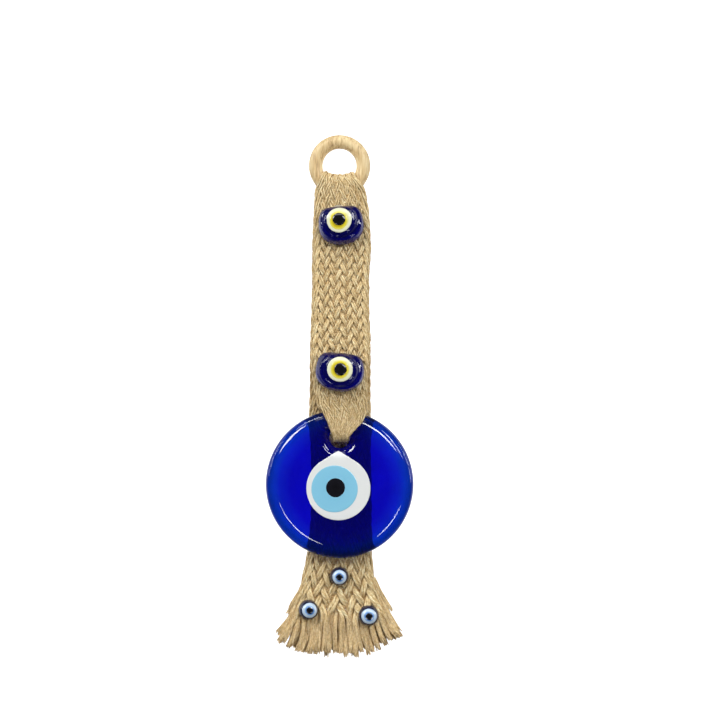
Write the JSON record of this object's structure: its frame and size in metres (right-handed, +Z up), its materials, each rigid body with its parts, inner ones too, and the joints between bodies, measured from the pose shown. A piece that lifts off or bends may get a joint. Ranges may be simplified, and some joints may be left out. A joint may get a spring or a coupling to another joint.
{
  "type": "evil eye ornament",
  "caption": "Hanging charm: a flat jute braid on a wooden ring carries glass eye beads and a cobalt glass eye disc, and ends in a frayed tail with small eye charms.",
  "frame": {"origin": "top of the ring's hole, midway through the ring's thickness, where the hook or nail it hangs from bears", "axes": "+Z up as it hangs, +X to the right seen from the front, -Y out of the front face with the eyes"},
  "size_m": [0.06, 0.0232, 0.2109],
  "materials": {
    "wood_natural": "smooth, waxed",
    "jute": "coarse plied jute, matte",
    "glue_clear": "set clear glue",
    "glass_cobalt": "polished, transparent cobalt",
    "glass_navy": "polished, very dark cobalt",
    "glass_white": "polished, opaque",
    "glass_cream": "polished, opaque",
    "glass_yellow": "polished, opaque",
    "glass_black": "polished, opaque",
    "glass_light_blue": "polished, opaque",
    "glass_mid_blue": "polished, opaque"
  },
  "bodies": {
    "ring": {"wood_ring": "wood_natural"},
    "loop": {"braid_loop": "jute"},
    "upper": {"braid_front_upper": "jute", "braid_rear_upper": "jute", "glue_layers_upper": "glue_clear", "glue_bead_upper": "glue_clear", "bead_upper_body": "glass_navy", "bead_upper_white": "glass_cream", "bead_upper_yellow": "glass_yellow", "bead_upper_pupil": "glass_black"},
    "lower": {"braid_front_lower": "jute", "braid_rear_lower": "jute", "glue_layers_lower": "glue_clear", "glue_bead_lower": "glue_clear", "bead_lower_body": "glass_navy", "bead_lower_white": "glass_cream", "bead_lower_yellow": "glass_yellow", "bead_lower_pupil": "glass_black"},
    "neck": {"braid_neck": "jute", "glue_neck": "glue_clear"},
    "disc": {"disc_glass": "glass_cobalt", "disc_eye_white": "glass_white", "disc_eye_blue": "glass_light_blue", "disc_eye_pupil": "glass_black"},
    "tail": {"braid_tail": "jute", "fringe_cords": "jute", "glue_charm_centre": "glue_clear", "charm_centre_body": "glass_navy", "charm_centre_white": "glass_white", "charm_centre_blue": "glass_mid_blue", "charm_centre_pupil": "glass_black", "glue_charm_left": "glue_clear", "charm_left_body": "glass_navy", "charm_left_white": "glass_white", "charm_left_blue": "glass_mid_blue", "charm_left_pupil": "glass_black", "glue_charm_right": "glue_clear", "charm_right_body": "glass_navy", "charm_right_white": "glass_white", "charm_right_blue": "glass_mid_blue", "charm_right_pupil": "glass_black"}
  },
  "joints": [
    {"name": "loop_slide", "type": "hinge", "parent": "ring", "child": "loop", "pos_m": [0, 0, -0.0068], "axis": [0, 1, 0], "range_deg": [-90, 90]},
    {"name": "strap_swing", "type": "hinge", "parent": "loop", "child": "upper", "pos_m": [0, 0, -0.01645], "axis": [-1, 0, 0], "range_deg": [-45, 45]},
    {"name": "strap_fold", "type": "hinge", "parent": "upper", "child": "lower", "pos_m": [0, 0.0003, -0.06], "axis": [-1, 0, 0], "range_deg": [-30, 30]},
    {"name": "neck_swing", "type": "hinge", "parent": "lower", "child": "neck", "pos_m": [0, 0.0003, -0.101], "axis": [-1, 0, 0], "range_deg": [0, 35]},
    {"name": "disc_turn", "type": "hinge", "parent": "neck", "child": "disc", "pos_m": [0, 0.0001, -0.1169], "axis": [0, 1, 0], "range_deg": [-15, 15]},
    {"name": "tail_fold", "type": "hinge", "parent": "lower", "child": "tail", "pos_m": [0, 0.0067, -0.168], "axis": [-1, 0, 0], "range_deg": [-45, 20]}
  ]
}
